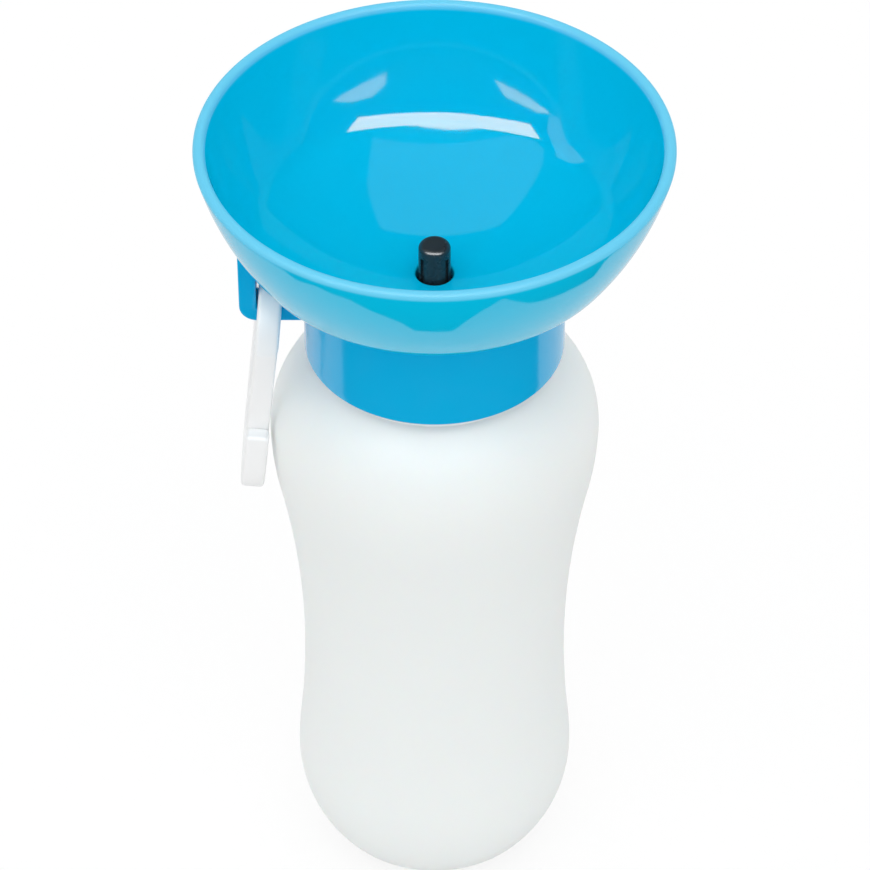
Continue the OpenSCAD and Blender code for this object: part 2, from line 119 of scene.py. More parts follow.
GROOVE_R = SEAT_R - RUN_GAP - SEAL_T
GROOVE_HALF = SEAL_T / 2 + GROOVE_PLAY
SEAT_Z = TIP_Z - 2 * STOP_GAP
TUBE_R, TUBE_WALL, TUBE_GAP = 4.0, 1.0, 4.0
HUB_LIP, HUB_T, STUB_LEN, STUB_WALL = 1.0, 1.2, 10.0, 0.95
HUB_R = TUBE_R + HUB_LIP
HUB_Z = SEAT_Z - HUB_T
STUB_R = TUBE_R - TUBE_WALL - SEAT_GAP / 2
STUB_Z = HUB_Z - STUB_LEN
STUB_BORE = STUB_R - STUB_WALL
TUBE_Z = PUSH + WALL + TUBE_GAP
KNOB_R, KNOB_Z, KNOB_ROUND = 3.7, 187.0, 1.3
FLUTE_Z, FLUTE_W, FLUTE_DEEP = 184.2, 1.3, 0.9
FLUTE_AT = (-40.0, 40.0, 140.0, 220.0)

# Snap hook, in its own plane: the upper bend's centre is the origin. It leans outwards on the shoulder.
BEND_IN, HOOK_T, HOOK_W, HOOK_EDGE, HOOK_LEN, NOSE_LEN = 8.5, 4.0, 5.5, 1.0, 35.2, 9.8
BAR_GAP, LEG_GAP, SHOULDER_GAP, NOSE_GAP, KNUCKLE_GAP = 0.3, 0.23, 0.13, 0.2, 0.1
GATE_W, GATE_T, TUCK = 5.2, 2.6, 4.0
GATE_EDGE = HOOK_EDGE * GATE_T / HOOK_T
NOSE_Z = NOSE_LEN - HOOK_LEN
GATE_R = HOOK_T / 2
GATE_Y = -(BEND_IN + GATE_R)
GATE_SLANT = math.degrees(math.atan((HOOK_T + NOSE_GAP) / -NOSE_Z))
HOOK_Z = BAR_TOP - math.sqrt((BEND_IN - BAR_GAP) ** 2 - (BRACKET_W / 2) ** 2)
pass_h = math.sqrt(BEND_IN ** 2 - (BRACKET_W / 2) ** 2)
pass_x = LEG_X - LEG_GAP
room = (pass_x - SHOULDER_C[0], HOOK_Z + pass_h - SHOULDER_Z)
past_shoulder = SHOULDER_ARC + SHOULDER_GAP + HOOK_W
LEAN = math.degrees(math.asin(past_shoulder / math.hypot(*room)) - math.atan2(*room))
HOOK_X = pass_x - HOOK_W / 2 / cosd(LEAN) + pass_h * math.tan(math.radians(LEAN))


# ---------------------------------------------------------------- mesh helpers
def outward(points, faces):
    """The faces of a closed shell, turned so that they look outwards."""
    volume = 0.0
    for face in faces:
        first = Vector(points[face[0]])
        for j, k in zip(face[1:], face[2:]):
            volume += first.dot(Vector(points[j]).cross(Vector(points[k])))
    return faces if volume > 0 else [face[::-1] for face in faces]


def add_piece(name, shells, material, body, replaced, sharp=32):
    """One object from closed shells. Each shell is (points in mm, faces)."""
    points, faces = [], []
    for shell_points, shell_faces in shells:
        first = len(points)
        points += [(x * MM, y * MM, z * MM) for x, y, z in shell_points]
        faces += [[i + first for i in face] for face in outward(shell_points, shell_faces)]
    mesh = bpy.data.meshes.new(name)
    mesh.from_pydata(points, [], faces)
    mesh.validate()
    mesh.polygons.foreach_set("use_smooth", [True] * len(mesh.polygons))
    mesh.set_sharp_from_angle(angle=math.radians(sharp))
    mesh.materials.append(material)
    mesh.update()
    piece = bpy.data.objects.new(name, mesh)
    bpy.context.scene.collection.objects.link(piece)
    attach(piece, body)
    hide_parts(replaced)


def arc(centre, r, a0, a1, step=2.0):
    """Points on an arc in a section, no further apart than a step in degrees."""
    n = max(2, math.ceil(abs(a1 - a0) / step))
    return [polar(centre, r, a0 + (a1 - a0) * i / n) for i in range(n + 1)]


def rounded(corners, steps=5):
    """Outline from (x, y, radius) corners, each with its fillet. A radius of 0 keeps the corner sharp."""
    out = []
    for i, (x, y, r) in enumerate(corners):
        if r <= 0:
            out.append((x, y))
            continue
        before, after = corners[i - 1], corners[(i + 1) % len(corners)]
        ax, ay = before[0] - x, before[1] - y
        bx, by = after[0] - x, after[1] - y
        la, lb = math.hypot(ax, ay), math.hypot(bx, by)
        ax, ay, bx, by = ax / la, ay / la, bx / lb, by / lb
        half = math.acos(max(-1, min(1, ax * bx + ay * by))) / 2
        cut = r / math.tan(half)
        to_centre = r / math.sin(half) / math.hypot(ax + bx, ay + by)
        centre = (x + (ax + bx) * to_centre, y + (ay + by) * to_centre)
        start = math.degrees(math.atan2(y + ay * cut - centre[1], x + ax * cut - centre[0]))
        end = math.degrees(math.atan2(y + by * cut - centre[1], x + bx * cut - centre[0]))
        turn = (end - start + 180) % 360 - 180
        out += [polar(centre, r, start + turn * k / steps) for k in range(steps + 1)]
    return out


def dense(outline, longest=1.5):
    """The same closed outline with no straight run longer than this."""
    out = []
    for (x0, y0), (x1, y1) in zip(outline, outline[1:] + outline[:1]):
        n = max(1, math.ceil(math.hypot(x1 - x0, y1 - y0) / longest))
        out += [(x0 + (x1 - x0) * i / n, y0 + (y1 - y0) * i / n) for i in range(n)]
    return out


def rounded_end(edge):
    """(distance from the end, inset) pairs that round off an end or a side."""
    return [(edge * (1 - sind(a)), edge * (1 - cosd(a))) for a in (90, 67.5, 45, 22.5, 0)]


def apart(p, q):
    return math.hypot(p[0] - q[0], p[1] - q[1]) > 1e-5


def lathe(section, sides):
    """Closed section of (radius, height) points turned round the Z axis."""
    section = [p for p, q in zip(section, section[-1:] + section[:-1]) if apart(p, q)]
    points, rows, faces = [], [], []
    for r, z in section:
        if r < 1e-6:
            rows.append([len(points)] * sides)
            points.append((0.0, 0.0, z))
            continue
        rows.append(list(range(len(points), len(points) + sides)))
        points += [(*polar((0, 0), r, 360 * k / sides), z) for k in range(sides)]
    for a, b in zip(rows, rows[1:] + rows[:1]):
        if a[0] == a[1] and b[0] == b[1]:
            continue
        for k in range(sides):
            j = (k + 1) % sides
            quad = [a[k], a[j], b[j], b[k]]
            faces.append([v for i, v in enumerate(quad) if v != quad[i - 1]])
    return points, faces


def closed_loft(rings, end_faces=None):
    """Skin over rings of equal length with closed ends. end_faces closes the last ring in another way."""
    n = len(rings[0])
    points = [p for ring in rings for p in ring]
    faces = []
    for i in range(len(rings) - 1):
        for k in range(n):
            j = (k + 1) % n
            faces.append([i * n + k, i * n + j, (i + 1) * n + j, (i + 1) * n + k])
    last = (len(rings) - 1) * n
    faces.append(list(range(n))[::-1])
    faces += [[last + v for v in face] for face in (end_faces or [range(n)])]
    return points, faces


def ridge(root, crest, z0, turns, fade=30, per_turn=90):
    """Helical thread ridge. The crest lies outside or inside the root.

    Over the angle fade at both ends the ridge runs out, down to a low, narrow one and not to nothing.
    """
    n = round(per_turn * turns)
    total = 360 * turns
    soft = min(0.3, abs(crest - root) / 3)
    half_root = (ROOT_W + BURY) / 2
    rings = []
    for i in range(n + 1):
        t = total * i / n
        share = max(min(1, t / fade, (total - t) / fade), 0.06)
        share = share * share * (3 - 2 * share)
        tip = root + (crest - root) * max(share, 0.05)
        half_tip = CREST_W / 2 * max(share, 0.3)
        edge = tip - math.copysign(soft, crest - root)
        h = z0 + PITCH * t / 360
        section = [(root, -half_root), (edge, -half_tip - soft * 0.6), (tip, -half_tip * 0.6),
                   (tip, half_tip * 0.6), (edge, half_tip + soft * 0.6), (root, half_root)]
        rings.append([(r * cosd(t), r * sind(t), h + z) for r, z in section])
    return closed_loft(rings)


# ---------------------------------------------------------------- materials
class Nodes:
    """Short way to build the node tree of a material or of the world."""

    def __init__(self, owner):
        owner.use_nodes = True
        self.tree = owner.node_tree
        self.link = self.tree.links.new

    def named(self, name):
        return self.tree.nodes[name]

    def add(self, kind, links=None, inputs=None, **settings):
        node = self.tree.nodes.new(kind)
        for setting, value in settings.items():
            setattr(node, setting, value)
        for socket, value in (inputs or {}).items():
            node.inputs[socket].default_value = value
        for socket, source in (links or {}).items():
            self.link(source, node.inputs[socket])
        return node

    def noise(self, where, scale, detail, roughness):
        values = {"Scale": scale, "Detail": detail, "Roughness": roughness}
        return self.add("ShaderNodeTexNoise", {"Vector": where}, values).outputs[0]

    def ramp(self, value, low, high, start=0.0, end=1.0):
        """Low where the value is start or less, high where it is end or more, and even in between."""
        values = {"From Min": start, "From Max": end, "To Min": low, "To Max": high}
        return self.add("ShaderNodeMapRange", {"Value": value}, values).outputs[0]

    def coordinate(self, kind):
        return self.add("ShaderNodeTexCoord").outputs[kind]

    def height_of(self, vector):
        return self.add("ShaderNodeSeparateXYZ", {0: vector}).outputs["Z"]


TONE_SCALE = 28.0       # slow colour change, in patches of about 36 mm
GLOSS_SCALE = 140.0     # uneven gloss, in patches of about 7 mm


def plastic(name, color, tint, roughness, spread, grain, grain_depth, wave=0.0, wave_depth=0.0,
            under_depth=0.0, **sockets):
    """Moulded plastic: slow colour change, uneven gloss, fine grain and a slow waviness of the surface.

    Scales are per metre and depths are metres. Faces that look down have the waviness under_depth, if given.
    """
    material = bpy.data.materials.new(name)
    nodes = Nodes(material)
    shader = nodes.named("Principled BSDF")
    where = nodes.coordinate("Object")
    tone = nodes.add("ShaderNodeMix", {0: nodes.noise(where, TONE_SCALE, 3.0, 0.55)}, data_type="RGBA")
    tone.inputs["A"].default_value = (*color, 1)
    tone.inputs["B"].default_value = (*tint, 1)
    nodes.link(tone.outputs["Result"], shader.inputs["Base Color"])
    uneven = nodes.noise(where, GLOSS_SCALE, 4.0, 0.6)
    gloss = nodes.ramp(uneven, roughness - spread, roughness + spread, 0.3, 0.7)
    nodes.link(gloss, shader.inputs["Roughness"])
    fine = nodes.noise(where, grain, 2.0, 0.5)
    bump = nodes.add("ShaderNodeBump", {"Height": fine}, {"Strength": 1.0, "Distance": grain_depth})
    if wave_depth:
        broad = nodes.noise(where, wave, 1.0, 0.4)
        facing = nodes.height_of(nodes.coordinate("Normal"))
        depth = nodes.ramp(facing, under_depth or wave_depth, wave_depth, -0.2, 0.0)
        bump = nodes.add("ShaderNodeBump", {"Height": broad, "Normal": bump.outputs[0], "Distance": depth},
                         {"Strength": 1.0})
    nodes.link(bump.outputs[0], shader.inputs["Normal"])
    for socket, value in sockets.items():
        shader.inputs[socket.replace("_", " ")].default_value = value
    return material


def rim_painted_glow(material, low, high, color, roughness):
    """Painted glow on the thin rim: above a height in metres its colour is painted paler, in place of the
    light that comes through the thin plastic, and its gloss is duller.
    """
    nodes = Nodes(material)
    shader = nodes.named("Principled BSDF")
    base, gloss = (shader.inputs[k].links[0].from_socket for k in ("Base Color", "Roughness"))
    height = nodes.height_of(nodes.coordinate("Object"))
    mask = nodes.add("ShaderNodeMapRange", {"Value": height}, {"From Min": low, "From Max": high},
                     interpolation_type="SMOOTHSTEP").outputs[0]
    tone = nodes.add("ShaderNodeMix", {0: mask, "A": base}, data_type="RGBA")
    tone.inputs["B"].default_value = (*color, 1)
    nodes.link(tone.outputs["Result"], shader.inputs["Base Color"])
    dull = nodes.add("ShaderNodeMix", {0: mask, 2: gloss})
    dull.inputs[3].default_value = roughness
    nodes.link(dull.outputs[0], shader.inputs["Roughness"])
    nodes.link(nodes.ramp(mask, 0.5, 0.15), shader.inputs["Specular IOR Level"])


GLOSS_TINT = (1.0, 0.62, 0.3, 1.0)      # mirror images on the blue plastic are warm, as in the photograph
BOWL_BLUE = plastic(
    "blue_bowl_gloss", color=(0.0, 0.51, 0.78), tint=(0.0, 0.525, 0.79), roughness=0.06, spread=0.015,
    grain=2500, grain_depth=0.000001, wave=60, wave_depth=0.000008, under_depth=0.00005,
    IOR=1.49, Specular_Tint=GLOSS_TINT)
# Painted glow: the rim's top is painted a paler blue, in place of light through the thin plastic.
rim_painted_glow(BOWL_BLUE, low=0.2150, high=0.2160, color=(0.13, 0.6, 0.86), roughness=0.45)
COLLAR_BLUE = plastic(
    "blue_collar_gloss", color=(0.0, 0.41, 0.75), tint=(0.0, 0.43, 0.77), roughness=0.13, spread=0.03,
    grain=2500, grain_depth=0.000002, wave=60, wave_depth=0.00001, IOR=1.49, Specular_Tint=GLOSS_TINT)
MILKY = plastic(
    "bottle_milky", color=(0.862, 0.878, 0.869), tint=(0.882, 0.894, 0.883), roughness=0.6, spread=0.05,
    grain=1800, grain_depth=0.000006, wave=45, wave_depth=0.00003,
    IOR=1.51, Specular_IOR_Level=0.3, Subsurface_Weight=0.12, Subsurface_Scale=0.004)
HOOK_WHITE = plastic(
    "hook_off_white", color=(0.9, 0.905, 0.905), tint=(0.93, 0.93, 0.93), roughness=0.5, spread=0.05,
    grain=1500, grain_depth=0.000005, wave=90, wave_depth=0.00002, IOR=1.48, Specular_IOR_Level=0.35)
INNER_WHITE = plastic(
    "inner_white", color=(0.80, 0.81, 0.81), tint=(0.84, 0.84, 0.84), roughness=0.4, spread=0.05,
    grain=1500, grain_depth=0.000005, IOR=1.48)
BLACK = plastic(
    "knob_black", color=(0.018, 0.024, 0.028), tint=(0.022, 0.029, 0.034), roughness=0.28, spread=0.05,
    grain=2200, grain_depth=0.000006, wave=200, wave_depth=0.00002, IOR=1.5)
RUBBER = plastic(
    "dark_rubber", color=(0.018, 0.018, 0.019), tint=(0.026, 0.026, 0.027), roughness=0.7, spread=0.08,
    grain=2600, grain_depth=0.00001, IOR=1.5)
SILICONE = plastic(
    "pale_silicone", color=(0.62, 0.63, 0.63), tint=(0.68, 0.69, 0.69), roughness=0.55, spread=0.06,
    grain=2200, grain_depth=0.000006, IOR=1.43)
TUBE = plastic(
    "clear_tube", color=(0.80, 0.85, 0.88), tint=(0.84, 0.88, 0.90), roughness=0.15, spread=0.04,
    grain=900, grain_depth=0.000004, IOR=1.45, Transmission_Weight=0.75)


# ---------------------------------------------------------------- bowl
def floor_at(r, radius=FLOOR_R):
    """Height of the dished floor at a distance from the axis."""
    return FLOOR_C[1] - math.sqrt(radius ** 2 - r ** 2)


def floor_angle(r, radius=FLOOR_R):
    """Angle of the same place, seen from the centre of the dish."""
    return -math.degrees(math.acos(r / radius))


def bowl_outside(gap, r_end, step=1.0):
    """The underside from the rim's lean to a radius on the dished floor, offset outwards by a gap."""
    return (arc(SIDE_C, SIDE_R + gap, -RIM_A, -SIDE_A, step)
            + arc(KNUCKLE_C, KNUCKLE_R + gap, -SIDE_A, -FLOOR_A, 2)[1:]
            + arc(FLOOR_C, FLOOR_R + gap, -FLOOR_A, floor_angle(r_end, FLOOR_R + gap), step)[1:])


def bowl_profile():
    w = BOWL_WALL
    inner = FLOOR_R - w
    lip = 0.5
    lip_top = floor_at(HOLE_R + lip, inner)
    rim_c = polar(SIDE_C, SIDE_R - w / 2, -RIM_A)
    boss = rounded([(BOSS_R, PLATE_TOP + 1.5, 0), (BOSS_R, PLATE_TOP, 0.3), (SPIGOT_R, PLATE_TOP, 0),
                    (SPIGOT_R, PLATE_TOP - 1, 0)])
    foot = rounded([(SPIGOT_R, SPIGOT_Z + 0.9, 0), (SPIGOT_R, SPIGOT_Z, 0.3), (CHAMBER_R, SPIGOT_Z, 0.3),
                    (CHAMBER_R, SPIGOT_Z + 2, 0)])
    return (bowl_outside(0, BOSS_R) + boss[:-1]
            + arc((SPIGOT_R, BEAD_Z), BEAD_R, 90, -90, 20) + foot[:-1]
            + [(CHAMBER_R, floor_at(CHAMBER_R)), (HOLE_R, floor_at(HOLE_R))]
            + arc((HOLE_R + lip, lip_top - lip), lip, 180, 95, 17)
            + arc(FLOOR_C, inner, floor_angle(HOLE_R + lip, inner), -FLOOR_A, 1.0)
            + arc(KNUCKLE_C, KNUCKLE_R - w, -FLOOR_A, -SIDE_A, 2)[1:]
            + arc(SIDE_C, SIDE_R - w, -SIDE_A, -RIM_A, 1.0)[1:]
            + arc(rim_c, w / 2, 180 - RIM_A, -RIM_A, 9)[1:-1])


add_piece("bowl_shell", [lathe(dense(bowl_profile()), 320)], BOWL_BLUE, "cap", "bowl")


# ---------------------------------------------------------------- screw collar and hanger bracket
def collar_profile():
    outer = FLOOR_R + SEAT_GAP
    skirt = rounded([(SKIRT_R, COLLAR_Z, 0.25), (COLLAR_R, COLLAR_Z, 0.45), (COLLAR_R, COLLAR_Z + 5, 0)], 6)
    plate = rounded([(SKIRT_R, PLATE_TOP + 2, 0), (SKIRT_R, PLATE_TOP, 0.5),
                     (SPIGOT_R + SEAT_GAP, PLATE_TOP, 0.2), (SPIGOT_R + SEAT_GAP, PLATE_Z, 0.2),
                     (SKIRT_R, PLATE_Z, 0.3), (SKIRT_R, PLATE_Z - 2, 0)])
    top = arc(FLOOR_C, outer, floor_angle(COLLAR_R, outer), floor_angle(SKIRT_R, outer), 1)
    return skirt[:-1] + top + plate


def bracket_outline():
    """The strip loop in its own plane, as (distance from the axis, height). Its root lies in the skirt."""
    root = COLLAR_R - 1.0
    under_bowl = bowl_outside(SEAT_GAP, root, 0.5)
    top_out = min(under_bowl, key=lambda p: abs(p[0] - REACH))
    top_in = min(under_bowl, key=lambda p: abs(p[0] - LEG_X))
    return dense(rounded([(root, BAR_Z, 0), (REACH, BAR_Z, BRACKET_R), (REACH, top_out[1], 0),
                          (LEG_X, top_in[1], 0), (LEG_X, BAR_TOP, BRACKET_FILLET), (root, BAR_TOP, 0)], 12))


def bracket_shell():
    """The outline as wide as the strip, with softened edges along both sides."""
    outline = bracket_outline()
    normals = []
    for (x0, z0), (x1, z1) in zip(outline[-1:] + outline[:-1], outline[1:] + outline[:1]):
        length = math.hypot(x1 - x0, z1 - z0)
        normals.append(((z1 - z0) / length, (x0 - x1) / length))
    side = [(inset, BRACKET_W / 2 - d) for d, inset in rounded_end(0.45)]
    rings = []
    for inset, y in side + [(inset, -y) for inset, y in side[::-1]]:
        rings.append([(-x + inset * nx, y, z - inset * nz) for (x, z), (nx, nz) in zip(outline, normals)])
    return closed_loft(rings)


collar_thread = ridge(SKIRT_R + BURY, NECK_R + THREAD_GAP, THREAD_Z + PITCH / 2, COLLAR_TURNS)
add_piece("collar_shell", [lathe(dense(collar_profile()), 320), collar_thread],
          COLLAR_BLUE, "cap", "screw_collar")
add_piece("bracket_strip", [bracket_shell()], COLLAR_BLUE, "cap", "hanger_bracket")


# ---------------------------------------------------------------- bottle
def bottle_profile():
    """Arcs that meet at common tangents, from the base to the neck, once for each face of the wall."""
    base_turn = math.degrees(math.asin((LOBE_Z - CORNER_R) / (BASE_R - CORNER_R)))
    base_c = (LOBE_R - BASE_R, LOBE_Z)
    corner_c = polar(base_c, BASE_R - CORNER_R, -base_turn)
    low_h, high_h = WAIST_Z - LOBE_Z, SHOULDER_Z - WAIST_Z
    low = 2 * math.degrees(math.atan((LOBE_R - WAIST_R) / low_h))
    high = 2 * math.degrees(math.atan((SHOULDER_R - WAIST_R) / high_h))
    lobe = LOBE_SHARE * low_h / sind(low)
    grip_low = (1 - LOBE_SHARE) * low_h / sind(low)
    grip_high = GRIP_SHARE * high_h / sind(high)
    chest = (1 - GRIP_SHARE) * high_h / sind(high)

    def side(w, neck_r):
        end = math.degrees(math.acos((neck_r - SHOULDER_C[0]) / (SHOULDER_ARC - w)))
        return (arc(corner_c, CORNER_R - w, -90, -base_turn, 3)
                + arc(base_c, BASE_R - w, -base_turn, 0, 1.5)[1:]
                + arc((LOBE_R - lobe, LOBE_Z), lobe - w, 0, low, 0.5)[1:]
                + arc((WAIST_R + grip_low, WAIST_Z), grip_low + w, 180 + low, 180, 0.5)[1:]
                + arc((WAIST_R + grip_high, WAIST_Z), grip_high + w, 180, 180 - high, 0.5)[1:]
                + arc((SHOULDER_R - chest, SHOULDER_Z), chest - w, -high, 0, 0.5)[1:]
                + arc(SHOULDER_C, SHOULDER_ARC - w, 0, end, 1.5)[1:])

    foot = corner_c[0] - FOOT
    base = rounded([(foot - PUSH - 3, PUSH, 0), (foot - PUSH, PUSH, 0.8), (foot, 0, 0.8), (foot + 1, 0, 0)])
    mouth = rounded([(NECK_R, NECK_TOP - 3, 0), (NECK_R, NECK_TOP, 0.4), (BORE_R, NECK_TOP, 0.4),
                     (BORE_R, NECK_TOP - 3, 0)])
    inside = [(foot + WALL / 2, WALL), (foot - PUSH + WALL / 2, PUSH + WALL), (0, PUSH + WALL)]
    return [(0, PUSH)] + base[1:-1] + side(0, NECK_R) + mouth + side(WALL, BORE_R)[::-1] + inside


neck_thread = ridge(NECK_R - BURY, NECK_R + THREAD_H, THREAD_Z, NECK_TURNS)
add_piece("bottle_shell", [lathe(dense(bottle_profile(), 2.0), 208), neck_thread],
          MILKY, "bottle", "squeeze_bottle")


# ---------------------------------------------------------------- gasket, valve and tube
def flat_ring(r_in, r_out, z_low, z_high, edge, steps=3):
    corners = ((r_in, z_low), (r_out, z_low), (r_out, z_high), (r_in, z_high))
    return rounded([(r, z, edge) for r, z in corners], steps)


def cup_profile():
    """Stub, hub, cup with the bead's groove, and the raised seat."""
    top = PLATE_Z - WASHER_T
    inner = SPIGOT_R + SEAT_GAP
    groove_r = BEAD_R + SEAT_GAP
    floor_top = CUP_Z + CUP_FLOOR
    outside = rounded([(STUB_BORE, STUB_Z, 0.2), (STUB_R, STUB_Z, 0.4), (STUB_R, HUB_Z, 0.1),
                       (HUB_R, HUB_Z, 0.3), (HUB_R, CUP_Z, 0.2), (CUP_R, CUP_Z, 0.5), (CUP_R, top, 0.2),
                       (inner, top, 0), (inner, BEAD_Z + groove_r, 0)], 4)
    inside = rounded([(inner, BEAD_Z - groove_r, 0), (inner, floor_top, 0.2),
                      (SEAT_R + SEAT_WALL, floor_top, 0.1), (SEAT_R + SEAT_WALL, SEAT_TOP, 0.2),
                      (SEAT_R, SEAT_TOP, 0.3), (SEAT_R, SEAT_Z, 0.1), (STUB_BORE, SEAT_Z, 0.1),
                      (STUB_BORE, STUB_Z + 2, 0)], 4)
    return outside + arc((SPIGOT_R, BEAD_Z), groove_r, 80, -80, 20) + inside[:-1]


def tube_shell():
    """Tube with its lower end cut at a slant, so that it can't seal itself on the bottle's floor."""
    slant, bend_h = 30, 4
    section = flat_ring(TUBE_R - TUBE_WALL, TUBE_R, TUBE_Z, HUB_Z - SEAT_GAP, 0.2)
    points, faces = lathe(dense(section, 4), 96)
    slanted = []
    for x, y, z in points:
        if z < TUBE_Z + bend_h:
            z = max(z, TUBE_Z + (z - TUBE_Z) * 0.2 - x * math.tan(math.radians(slant)))
        slanted.append((x, y, z))
    return slanted, faces


gasket = flat_ring(BORE_R, SKIRT_R - SEAT_GAP, NECK_TOP, PLATE_Z, 0.3, steps=5)
washer = flat_ring(SPIGOT_R + SEAT_GAP, CUP_R, PLATE_Z - WASHER_T, PLATE_Z, 0.15)
seal = arc((GROOVE_R + SEAL_T / 2, SEAL_Z), SEAL_T / 2, 0, 360, 15)[:-1]
add_piece("gasket_ring", [lathe(gasket, 192)], SILICONE, "gasket", "neck_gasket")
add_piece("valve_cup", [lathe(cup_profile(), 128)], INNER_WHITE, "cap", "valve_body")
add_piece("washer_ring", [lathe(washer, 128)], RUBBER, "cap", "valve_washer")
add_piece("seal_ring", [lathe(seal, 96)], RUBBER, "valve", "plunger_seal")
add_piece("rise_tube_shell", [tube_shell()], TUBE, "cap", "rise_tube")

# ---------------------------------------------------------------- valve knob
FLUTE_FLOOR = 0.6       # depth of a flute below its step
FLUTE_STEP = 0.75       # the step's distance from the flute's top
DISH = ((1.8, 0.02), (0.9, 0.032))  # the knob's flat top sinks a little towards its middle


def knob_columns():
    """Angles round the knob, as (angle, in a flute, middle of that flute)."""
    half = math.degrees(math.asin(FLUTE_W / 2 / KNOB_R))
    half_floor = half - 0.5
    columns = []
    for a, after in zip(FLUTE_AT, FLUTE_AT[1:] + (FLUTE_AT[0] + 360,)):
        columns.append((a - half, False, a))
        columns += [(a - half_floor + 2 * half_floor * i / 5, True, a) for i in range(6)]
        columns.append((a + half, False, a))
        span = after - a - 2 * half
        steps = max(4, round(span / 6))
        columns += [(a + half + span * i / steps, False, a) for i in range(1, steps)]
    return columns


def knob_shell():
    """Fluted stem. Each flute is deepest at its top end and steps out to a shallower floor below."""
    columns = knob_columns()

    def ring(z, depth=0.0, radius=KNOB_R):
        out = []
        for angle, in_flute, middle in columns:
            r = (KNOB_R - depth) / cosd(angle - middle) if in_flute and depth else radius
            out.append((*polar((0, 0), r, angle), z))
        return out

    step_z = FLUTE_Z - FLUTE_STEP
    half_way = (FLUTE_FLOOR + FLUTE_DEEP) / 2 + 0.08
    rings = [ring(FIN_Z), ring(FIN_TOP), ring(FIN_TOP + 0.01, FLUTE_FLOOR), ring(step_z - 0.3, FLUTE_FLOOR),
             ring(step_z, half_way), ring(step_z + 0.1, FLUTE_DEEP), ring(FLUTE_Z - 0.2, FLUTE_DEEP),
             ring(FLUTE_Z, FLUTE_DEEP * 0.8), ring(FLUTE_Z + 0.05), ring(KNOB_Z - KNOB_ROUND)]
    for a in range(10, 91, 10):
        r, z = polar((KNOB_R - KNOB_ROUND, KNOB_Z - KNOB_ROUND), KNOB_ROUND, a)
        rings.append(ring(z, radius=r))
    rings += [ring(KNOB_Z - sunk, radius=r) for r, sunk in DISH]
    return closed_loft(rings)


def fin_shells():
    """Three guide fins at the stem's foot."""
    bevel = 0.15
    root, half_w, tip = 0.5, FIN_W / 2, CHAMBER_R - SEAT_GAP
    half = math.degrees(math.asin(half_w / tip))
    outline = [(root, -half_w)] + arc((0, 0), tip, -half, half, half / 2) + [(root, half_w)]
    levels = ((FIN_Z, bevel), (FIN_Z + bevel, 0), (FIN_TOP - bevel, 0), (FIN_TOP, bevel))
    shells = []
    for turn in (90, 210, 330):
        rings = []
        for z, inset in levels:
            smaller = [(x - inset, y * (1 - inset / half_w)) for x, y in outline]
            rings.append([(x * cosd(turn) - y * sind(turn), x * sind(turn) + y * cosd(turn), z)
                          for x, y in smaller])
        shells.append(closed_loft(rings))
    return shells


def tip_profile():
    """Stem's lower end with the groove for the seal."""
    low, high = SEAL_Z - GROOVE_HALF, SEAL_Z + GROOVE_HALF
    stem = FIN_Z + 0.2
    return rounded([(0, TIP_Z, 0), (TIP_R, TIP_Z, 0.4), (TIP_R, low, 0.1), (GROOVE_R, low, 0.1),
                    (GROOVE_R, high, 0.1), (TIP_R, high, 0.1), (TIP_R, stem, 0), (0, stem, 0)], 3)


add_piece("valve_knob", [knob_shell(), lathe(tip_profile(), 96)] + fin_shells(),
          BLACK, "valve", "valve_plunger", sharp=40)


# ---------------------------------------------------------------- snap hook
def hang(points):
    """From the hook's own plane to its place: it hangs on the bar and leans outwards on the shoulder."""
    return [(x * cosd(LEAN) + z * sind(LEAN) - HOOK_X, y, z * cosd(LEAN) - x * sind(LEAN) + HOOK_Z)
            for x, y, z in points]


CORNER_STEPS = 4


def strip(w, t, edge, inset):
    """Rounded rectangle, w across the hook's plane and t in it. The inset shrinks it at a rounded end."""
    shrink = max(inset - edge, 0)
    a, b = w / 2 - edge - shrink, t / 2 - edge - shrink
    r = max(edge - inset, 0.02)
    out = []
    for quarter, (sx, sy) in enumerate(((1, 1), (-1, 1), (-1, -1), (1, -1))):
        turns = [quarter + i / CORNER_STEPS for i in range(CORNER_STEPS + 1)]
        out += [polar((sx * a, sy * b), r, 90 * turn) for turn in turns]
    return out


def strip_ring(w, t, edge, y, z, a, inset=0.0):
    """The strip's section at a place in the hook's plane, with its thickness along the angle a."""
    return [(across, y + along * cosd(a), z + along * sind(a)) for across, along in strip(w, t, edge, inset)]


def ruled_end():
    """Faces that close a section by narrow strips across it, so that the end can be curved."""
    h = CORNER_STEPS + 1
    right = list(range(3 * h, 4 * h)) + list(range(h))
    left = list(range(3 * h - 1, h - 1, -1))
    return [[right[i], right[i + 1], left[i + 1], left[i]] for i in range(2 * h - 1)]


def frame_shell():
    """Open ring: nose, lower bend, back, upper bend and a round seat for the gate's knuckle."""
    mid = BEND_IN + HOOK_T / 2
    nose_start = NOSE_Z - 2.5
    stations = [(-mid, NOSE_Z - d, 180, inset) for d, inset in rounded_end(HOOK_EDGE)]
    stations += [(-mid, nose_start - (HOOK_LEN + nose_start) * i / 3, 180, 0) for i in range(4)]
    stations += [(*polar((0, -HOOK_LEN), mid, a), a, 0) for a in range(185, 360, 5)]
    stations += [(mid, -HOOK_LEN + HOOK_LEN * i / 8, 0, 0) for i in range(9)]
    stations += [(*polar((0, 0), mid, a), a, 0) for a in range(5, 180, 5)]
    rings = [strip_ring(HOOK_W, HOOK_T, HOOK_EDGE, *station) for station in stations]
    seat = GATE_R + KNUCKLE_GAP
    rings.append([(across, -mid - along, math.sqrt(seat ** 2 - min(abs(along), HOOK_T / 2) ** 2))
                  for across, along in strip(HOOK_W, HOOK_T, HOOK_EDGE, 0)])
    points, faces = closed_loft(rings, ruled_end())
    return hang(points), faces


